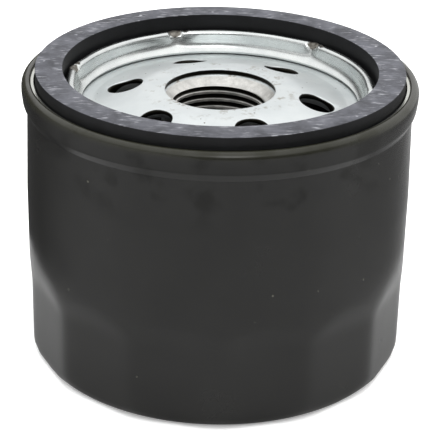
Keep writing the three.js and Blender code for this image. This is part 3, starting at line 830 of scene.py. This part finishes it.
def pressed_steel(name, dull, bright, gloss):
    """Thin pressed or drawn steel: cloudy tone, fine rolling grain and a soft sheen."""
    material, node, spot = new_material(name)
    cloud = node("TexNoise", {"Vector": spot, "Scale": 110, "Detail": 5, "Roughness": 0.6})[0]
    tone = node("ValToRGB", {0: cloud}, stops=[(0.3, dull), (0.7, bright)])[0]
    grain = node("TexNoise", {"Vector": spot, "Scale": 1600, "Detail": 3})[0]
    sheen = node("MapRange", {0: grain, 1: 0.3, 2: 0.7, 3: gloss - 0.05, 4: gloss + 0.05})[0]
    surface(node, {"Base Color": tone, "Metallic": 1.0, "Roughness": sheen},
            relief=grain, strength=0.15, depth=0.02 * MM)
    return material


upper_cap.data.materials.append(pressed_steel("bright tinplate", "#b9bbb8", "#cfd0cc", 0.3))
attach(upper_cap, "element")
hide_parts("upper_end_cap")


# ---------------- upper adhesive
# Plastisol poured in the upturned cap, in which the paper's ends are set. It bakes hard, with a skin that
# climbs a little at the rim.

potting_inner = 12.65 * MM
potting_outer = 31.25 * MM
potting_start = 20 * MM
skin_width = 0.8 * MM
climb = 0.25 * MM
upper_glue_low, upper_glue_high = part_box("upper_adhesive")


def potting(face, skin):
    """The outline of plastisol poured on a cap's face, whose skin climbs a little at both rims."""
    middle = skin + copysign(climb, face - skin)
    return bent([
        (potting_start, face, 0),
        (potting_inner, face, 0.2 * MM),
        (potting_inner, skin, 0.1 * MM),
        (potting_inner + skin_width, middle, 0.6 * MM),
        (potting_outer - skin_width, middle, 0.6 * MM),
        (potting_outer, skin, 0.1 * MM),
        (potting_outer, face, 0.2 * MM),
        (potting_start, face, 0),
    ])


upper_glue = draw("top_plastisol", potting(upper_glue_high.z, upper_glue_low.z), closed=True)
turned(upper_glue, 144)

upper_glue.data.materials.append(moulded("baked plastisol", "#8f3d22", "#a64c2c", 0.45))
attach(upper_glue, "element")
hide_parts("upper_adhesive")


# ---------------- pleated paper
# Resin-cured cellulose, folded in 36 pleats and stood in a ring. Each pleat runs in from a round outer fold
# to a tighter fold by the tube.

paper_low, paper_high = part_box("pleated_paper")
pleat_count = 36
pleat_step = 360 / pleat_count
paper_thickness = 0.5 * MM
fold_outer = 30.95 * MM - paper_thickness / 2
fold_inner = 13.05 * MM + paper_thickness / 2
outer_bend = 0.7 * MM
inner_bend = 0.45 * MM

pleat = [Vector((outer_bend * sin(radians(a)),
                 outer_bend - fold_outer - outer_bend * cos(radians(a)), paper_low.z))
         for a in range(-90, 91, 18)]
half_turn = Matrix.Rotation(radians(pleat_step / 2), 4, "Z")
whole_turn = Matrix.Rotation(radians(pleat_step), 4, "Z")
pleat += [half_turn @ Vector((inner_bend * sin(radians(a)),
                              inner_bend * cos(radians(a)) - fold_inner - inner_bend, paper_low.z))
          for a in range(-90, 91, 30)]
pleat.append(whole_turn @ pleat[0])

paper = trace("filter_paper_pleats", pleat)
pick_all()
copy_round(pleat_count)
pick_all()
bpy.ops.mesh.remove_doubles(threshold=hair)
extrude((0, 0, paper_high.z - paper_low.z))
heal()
modify(paper, "SOLIDIFY", thickness=paper_thickness, offset=0)
smooth(paper, 40)


def filter_paper():
    """Resin-cured cellulose: warm amber, with long fibres and a soft uneven tone."""
    material, node, spot = new_material("resin-cured cellulose paper")
    cloud = node("TexNoise", {"Vector": spot, "Scale": 140, "Detail": 5, "Roughness": 0.65})[0]
    tone = node("ValToRGB", {0: cloud}, stops=[(0.3, "#b98f4e"), (0.7, "#cda765")])[0]
    along = node("VectorMath", {0: spot, 1: (1, 1, 0.2)}, "MULTIPLY")[0]
    fibres = node("TexNoise", {"Vector": along, "Scale": 1800, "Detail": 4, "Roughness": 0.7})[0]
    pale = node("MapRange", {0: fibres, 1: 0.55, 2: 0.75, 4: 0.5})[0]
    colour = node("Mix", {0: pale, 6: tone, 7: linear("#e6cd98")}, data_type="RGBA")[2]
    surface(node, {"Base Color": colour, "Roughness": 0.85}, relief=fibres, strength=0.3, depth=0.04 * MM)
    return material


paper.data.materials.append(filter_paper())
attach(paper, "element")
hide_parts("pleated_paper")


# ---------------- pleat clip
# The steel channel crimped over the first and last pleats, which closes the ring of paper.

clip_low, clip_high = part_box("pleat_clip")
clip_wall = 0.4 * MM
clip_half = clip_high.x - clip_wall / 2 - inset
clip_front = clip_low.y + clip_wall / 2 + inset
clip_back = clip_high.y - inset

clip = trace("pleat_joint_channel", [Vector((*spot, clip_low.z + inset)) for spot in bent([
    (-clip_half, clip_back, 0),
    (-clip_half, clip_front, 0.35 * MM),
    (clip_half, clip_front, 0.35 * MM),
    (clip_half, clip_back, 0),
])])
pick_all()
extrude((0, 0, clip_high.z - clip_low.z - 2 * inset))
heal()
modify(clip, "SOLIDIFY", thickness=clip_wall, offset=0)
smooth(clip)

clip.data.materials.append(pressed_steel("plain steel strip", "#8f918f", "#a9aaa7", 0.38))
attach(clip, "element")
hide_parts("pleat_clip")


# ---------------- centre tube
# A strip of steel, punched with round holes and rolled into a tube, that holds the paper open from inside.

tube_low, tube_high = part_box("centre_tube")
tube_inner = 11.93 * MM
tube_outer = 12.42 * MM
perforation = 1.6 * MM
perforation_rows = 4
row_pitch = (paper_high.z - paper_low.z) / perforation_rows
first_column = 5
row_turn = 30


def swing(degrees):
    """Moves what is selected about the axis, from the front towards +X."""
    bpy.ops.transform.rotate(value=-radians(degrees), orient_axis="Z", center_override=(0, 0, 0))


tube = draw("perforated_tube", [
    (tube_inner, tube_low.z), (tube_outer, tube_low.z), (tube_outer, tube_high.z), (tube_inner, tube_high.z),
], closed=True)
spin(144)
heal()

# One drill runs right through both walls, so three turns make a row of six holes.
bpy.ops.object.select_all(action="DESELECT")
bpy.ops.mesh.primitive_cylinder_add(vertices=32, radius=perforation, depth=30 * MM,
                                    location=(0, 0, paper_low.z + row_pitch / 2),
                                    rotation=(pi / 2, 0, 0))
drill = begin("drill")
swing(first_column)
spin(2, degrees=120, copies=True)
for _ in range(1, perforation_rows):
    pick_all()
    top = max(vertex.co.z for vertex in bmesh.from_edit_mesh(drill.data).verts)
    pick(drill, "VERT", lambda spot: spot.z > top - 2.1 * perforation)
    bpy.ops.mesh.duplicate_move(TRANSFORM_OT_translate={"value": (0, 0, row_pitch)})
    swing(row_turn)
bpy.ops.object.mode_set(mode="OBJECT")
cut(tube, drill, overlapping=True)
smooth(tube)

tube.data.materials.append(pressed_steel("perforated steel strip", "#9a9c9a", "#b3b4b1", 0.36))
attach(tube, "element")
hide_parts("centre_tube")


# ---------------- lower adhesive
# The same plastisol, poured in the lower cap, with the paper's bottom edges set in it.

lower_glue_low, lower_glue_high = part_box("lower_adhesive")
lower_glue = draw("bottom_plastisol", potting(lower_glue_low.z, lower_glue_high.z), closed=True)
turned(lower_glue, 144)

lower_glue.data.materials.append(upper_glue.data.materials[0])
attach(lower_glue, "element")
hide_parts("lower_adhesive")


# ---------------- lower end cap
# The element's bottom plate, pressed from the same tinplate, with a hole for the bypass valve's oil.

lower_low, lower_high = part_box("lower_end_cap")
bypass_hole = 8.2 * MM

lower_cap = draw("bottom_cap_pressing", doubled([
    (bypass_hole, lower_low.z, 0),
    (cap_radius, lower_low.z, 1 * MM),
    (cap_radius, lower_high.z, 0),
], cap_sheet), closed=True)
turned(lower_cap, 144)

lower_cap.data.materials.append(upper_cap.data.materials[0])
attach(lower_cap, "element")
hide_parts("lower_end_cap")


# ---------------- bypass seat
# A steel washer staked in the lower cap, with its port's edge turned up into the collar the seal sits on.

seat_low, seat_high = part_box("bypass_seat")
port_radius = 5.2 * MM
seat_radius = seat_high.x - inset

seat = draw("valve_seat_washer", doubled([
    (port_radius, seat_high.z, 0),
    (port_radius, seat_low.z, 0.7 * MM),
    (seat_radius, seat_low.z, 0),
], sheet), closed=True)
turned(seat, 96)

seat.data.materials.append(pressed_steel("zinc-flashed steel", "#a3a5a2", "#bcbdb8", 0.34))
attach(seat, "element")
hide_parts("bypass_seat")


# ---------------- bypass seal
# A flat nitrile washer, held to the disc by the stem. It closes the port.

seal_low, seal_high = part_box("bypass_seal")
seal_inner = 1.8 * MM
seal_start = 5 * MM
seal_outer = seal_high.x - inset

seal = draw("poppet_seal_washer", bent([
    (seal_start, seal_low.z, 0),
    (seal_outer, seal_low.z, 0.15 * MM),
    (seal_outer, seal_high.z, 0.15 * MM),
    (seal_inner, seal_high.z, 0.1 * MM),
    (seal_inner, seal_low.z, 0.1 * MM),
    (seal_start, seal_low.z, 0),
]), closed=True)
turned(seal, 96, 60)

seal.data.materials.append(moulded("black nitrile sheet", "#111213", "#1c1d1e", 0.55))
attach(seal, "poppet")
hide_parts("bypass_seal")


# ---------------- bypass disc
# The shallow steel cup behind the seal, which the spring presses on.

disc_low, disc_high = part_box("bypass_disc")
disc_radius = disc_high.x - inset

disc = draw("poppet_cup", doubled([
    (seal_inner, disc_low.z, 0),
    (disc_radius, disc_low.z, 0.8 * MM),
    (disc_radius, disc_high.z, 0),
], sheet), closed=True)
turned(disc, 96)

disc.data.materials.append(seat.data.materials[0])
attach(disc, "poppet")
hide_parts("bypass_disc")


# ---------------- bypass stem
# The rivet that holds seal and disc together and slides in the cage's top. Its shoulder is staked on.

stem_low, stem_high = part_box("bypass_stem")
stem_radius = 1.5 * MM
head_radius = 3.18 * MM
head_top = stem_low.z + 0.9 * MM
shoulder_radius = 2.38 * MM
shoulder_low = disc_low.z + 0.55 * MM

stem = draw("poppet_rivet", bent([
    (0, stem_low.z, 0),
    (head_radius, stem_low.z, 0.3 * MM),
    (head_radius, head_top, 0.15 * MM),
    (stem_radius, head_top, 0.05 * MM),
    (stem_radius, shoulder_low, 0.05 * MM),
    (shoulder_radius, shoulder_low, 0.15 * MM),
    (shoulder_radius, shoulder_low + 0.6 * MM, 0.15 * MM),
    (stem_radius, shoulder_low + 0.6 * MM, 0.05 * MM),
    (stem_radius, stem_high.z, 0.4 * MM),
    (0, stem_high.z, 0),
]))
turned(stem, 64)

stem.data.materials.append(pressed_steel("cold-headed rivet steel", "#87898a", "#a2a3a3", 0.32))
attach(stem, "poppet")
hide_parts("bypass_stem")


# ---------------- bypass spring
# Six coils of 0.9 mm music wire, with the end coils closed. It holds the bypass shut until the paper clogs.

wire_radius = 0.45 * MM
coil_radius = 5.3 * MM
spring_foot = disc_low.z + sheet + wire_radius + 2 * inset
spring_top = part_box("bypass_cage")[1].z - sheet - wire_radius - 2 * inset
coil_steps = 30
closed_coils = 1
open_coils = 3

bpy.ops.object.select_all(action="DESELECT")
bpy.ops.mesh.primitive_circle_add(vertices=12, radius=wire_radius, fill_type="NGON",
                                  location=at(coil_radius, spring_foot), rotation=(0, pi / 2, 0))
spring = begin("bypass_coil_spring")
closed_rise = 2 * wire_radius + 0.05 * MM
open_rise = (spring_top - spring_foot - 2 * closed_rise) / open_coils
for coils, rise in ((closed_coils, closed_rise), (open_coils, open_rise), (closed_coils, closed_rise)):
    for step in range(coils * coil_steps):
        extrude((0, 0, rise / coil_steps))
        swing(360 / coil_steps)
heal()
smooth(spring, 60)

spring.data.materials.append(pressed_steel("music wire", "#77787a", "#97989a", 0.28))
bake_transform(spring)
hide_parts("bypass_spring")


# ---------------- bypass cage
# A drawn steel hat with four windows, staked on the seat. It guides the stem and backs the spring.

cage_low, cage_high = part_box("bypass_cage")
cage_radius = 8.9 * MM
cage_foot = cage_high.x - inset
window_width = 7.1 * MM
window_low = 12.3 * MM
window_high = 20.05 * MM
window_corner = 0.8 * MM

cage = draw("bypass_spring_hat", doubled([
    (cage_foot, cage_low.z + sheet, 0),
    (cage_radius, cage_low.z + sheet, 0.4 * MM),
    (cage_radius, cage_high.z, 1.2 * MM),
    (seal_inner, cage_high.z, 0),
], sheet), closed=True)
spin(96)
heal()

bpy.ops.object.select_all(action="DESELECT")
bpy.ops.mesh.primitive_cube_add(size=1, location=(0, 0, (window_low + window_high) / 2),
                                scale=(window_width, 30 * MM, window_high - window_low))
cutter = begin("window_cutter")
bpy.ops.mesh.bevel(offset=window_corner, segments=4)
pick_all()
spin(1, degrees=90, copies=True)
pick_all()
swing(45)
bpy.ops.object.mode_set(mode="OBJECT")
cut(cage, cutter, overlapping=True)
smooth(cage)

cage.data.materials.append(seat.data.materials[0])
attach(cage, "element")
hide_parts("bypass_cage")


# ---------------- element spring
# A leaf spring blanked from 0.6 mm strip: a ring under the element, on four arms bent down to the can's
# floor. It keeps the element pressed up against the drain valve.

leaf_low, leaf_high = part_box("element_spring")
leaf = 0.6 * MM
ring_inner = 9.5 * MM
ring_outer = 14 * MM
ring_height = leaf_high.z - leaf / 2 - hair
foot_height = leaf_low.z + leaf / 2 + inset
arm_turns = (30, 120, 210, 300)
arm_half = 15.1

leaf_spring = draw("element_leaf_spring", [(ring_inner, ring_height), (ring_outer, ring_height)], turn=30)
spin(72)
heal()
bpy.ops.object.mode_set(mode="EDIT")
arm_line = bent([
    (ring_outer, ring_height, 0),
    (ring_outer + 2 * MM, ring_height, 3 * MM),
    (28.6 * MM, foot_height, 3 * MM),
    (30.2 * MM, foot_height + 0.25 * MM, 0),
], steps=4)
for turn in arm_turns:
    along = at(1, 0, turn)
    pick(leaf_spring, "EDGE", lambda spot: spot.xy.length > ring_outer - 0.05 * MM
         and spot.xy.angle(along.xy) < radians(arm_half) and spot.z > ring_height - 0.01 * MM)
    for here, there in zip(arm_line, arm_line[1:]):
        move = along * (there.x - here.x) + Vector((0, 0, there.y - here.y))
        extrude(move)
heal()
modify(leaf_spring, "SOLIDIFY", thickness=leaf, offset=0)
smooth(leaf_spring)

leaf_spring.data.materials.append(pressed_steel("blued spring strip", "#4c5260", "#666a73", 0.33))
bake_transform(leaf_spring)
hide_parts("element_spring")


# ---------------- studio
# A white sheet, with a card under the filter that shows in its paint, and soft light from a pale surround.

bpy.ops.object.select_all(action="DESELECT")
bpy.ops.mesh.primitive_plane_add(size=8, location=(0, 0, -0.04 * MM))
floor = bpy.context.object
floor.name = "studio_floor"
floor.visible_glossy = False
bpy.ops.object.select_all(action="DESELECT")
bpy.ops.mesh.primitive_circle_add(vertices=128, radius=66 * MM, fill_type="NGON", location=(0, 0, -0.02 * MM))
card = bpy.context.object
card.name = "studio_card"
for ray in ("visible_camera", "visible_diffuse", "visible_shadow", "visible_transmission"):
    setattr(card, ray, False)
for board, name, tone, lit in ((floor, "white acrylic, lit from below", "#f6f6f6", 0.25),
                               (card, "pale grey card", "#c4c4c4", 0)):
    plain, node, _ = new_material(name)
    shader = node("BsdfPrincipled", {"Base Color": linear(tone), "Roughness": 0.9,
                  "Emission Color": linear("#ffffff"), "Emission Strength": lit})
    node("OutputMaterial", {0: shader[0]})
    board.data.materials.append(plain)

# Three square softboxes that face the filter: one overhead and one at each side behind it.
for spot, width, power in (((0, 0.1, 1.2), 1.2, 9), ((-0.9, 0.3, 0.6), 0.8, 2), ((0.9, 0.3, 0.6), 0.8, 3)):
    bpy.ops.object.light_add(type="AREA", location=spot)
    light = bpy.context.object
    light.data.size = width
    light.data.energy = power
    light.rotation_euler = (-Vector(spot)).to_track_quat("-Z", "Y").to_euler()
    light.visible_camera = False
    light.visible_glossy = False

# The surround is white overhead and behind, and dim level with the camera, with a bright strip above it.
# Below, it is white in front, dark behind to the left and bright right behind.
world = bpy.data.worlds.new("soft surround")
bpy.context.scene.world = world
world.use_nodes = True
world.node_tree.nodes.clear()
node = partial(add, world)
aim = node("TexCoord")["Generated"]
way = node("SeparateXYZ", {0: aim})

across = node("MapRange", {0: way[0], 1: -1, 2: 1})[0]
behind_low = node("ValToRGB", {0: across}, stops=[
    (0.46, "#555555"), (0.53, "#8c8c8c"), (0.6, "#e4e4e4"), (0.7, "#b4b4b4"), (0.83, "#949494")])[0]
behind = node("MapRange", {0: way[1], 1: -0.4, 2: 0.7}, interpolation_type="SMOOTHSTEP")[0]
low = node("Mix", {0: behind, 6: linear("#eeeeee"), 7: behind_low}, data_type="RGBA")[2]
under = node("MapRange", {0: way[2], 1: -0.95, 2: -0.5, 3: 0.4, 4: 1})[0]
low = node("VectorMath", {0: low, "Scale": under}, "SCALE")[0]

high = node("MapRange", {0: way[2], 1: 0, 2: 1, 3: 0.95, 4: 1.35})[0]
facing = node("MapRange", {0: way[1], 1: 0.1, 2: -0.5}, interpolation_type="SMOOTHSTEP")[0]
level = node("MapRange", {0: way[2], 1: 0.62, 2: 0.42}, interpolation_type="SMOOTHSTEP")[0]
gloom = node("Math", {0: facing, 1: level}, "MULTIPLY")[0]
gloom = node("MapRange", {0: gloom, 3: 1, 4: 0.2})[0]
strip_way = Vector((0.08, -0.72, 0.69)).normalized()
strip = node("VectorMath", {0: aim, 1: strip_way}, "DOT_PRODUCT")["Value"]
strip = node("MapRange", {0: strip, 1: 0.97, 2: 0.99, 4: 3})[0]
high = node("Math", {0: high, 1: gloom, 2: strip}, "MULTIPLY_ADD")[0]
high = node("CombineXYZ", {0: high, 1: high, 2: high})[0]

shift = node("MapRange", {0: way[0], 1: -0.45, 2: -0.08, 3: -0.3, 4: 0.2}, interpolation_type="SMOOTHSTEP")[0]
lifted = node("Math", {0: way[2], 1: shift}, "ADD")[0]
rising = node("MapRange", {0: lifted, 1: 0.0, 2: 0.16}, interpolation_type="SMOOTHSTEP")[0]
tone = node("Mix", {0: rising, 6: low, 7: high}, data_type="RGBA")[2]
glow = node("Background", {"Color": tone, "Strength": 1.0})
node("OutputWorld", {0: glow[0]})
bpy.context.scene.view_settings.view_transform = "Standard"
